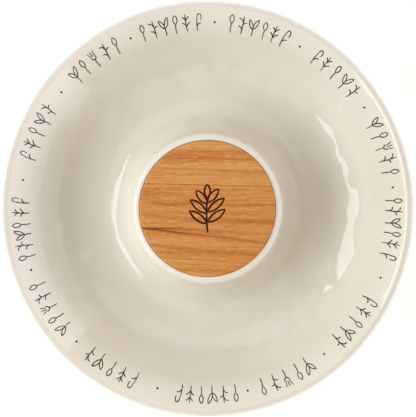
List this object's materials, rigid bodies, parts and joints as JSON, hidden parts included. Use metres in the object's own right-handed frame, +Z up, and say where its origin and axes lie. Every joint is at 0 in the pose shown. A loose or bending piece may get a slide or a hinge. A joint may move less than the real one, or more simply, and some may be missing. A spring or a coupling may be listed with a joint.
{
  "type": "chip and dip server",
  "caption": "Wide one-piece glazed bowl with a ring-shaped chip trough, a raised dip well in its centre, and a lift-off turned wooden lid with a sealing ring.",
  "frame": {"origin": "centre of the foot ring's lower face, on the table", "axes": "+Z up along the bowl's axis, +X to the right of the lid's grain, +Y away from the person served"},
  "size_m": [0.343, 0.343, 0.0588],
  "materials": {
    "glazed_stoneware": "glossy warm white glaze",
    "oiled_hardwood": "oiled, satin, grain along X",
    "clear_silicone": "translucent, matt"
  },
  "bodies": {
    "bowl": {"chip_bowl": "glazed_stoneware"},
    "seal": {"lid_seal": "clear_silicone"},
    "lid": {"wood_lid": "oiled_hardwood"}
  },
  "joints": [
    {"name": "lid_lift", "type": "slide", "parent": "bowl", "child": "seal", "axis": [0, 0, 1], "range_m": [0, 0.08]},
    {"name": "lid_turn", "type": "hinge", "parent": "seal", "child": "lid", "pos_m": [0, 0, 0.04], "axis": [0, 0, 1], "continuous": true}
  ]
}
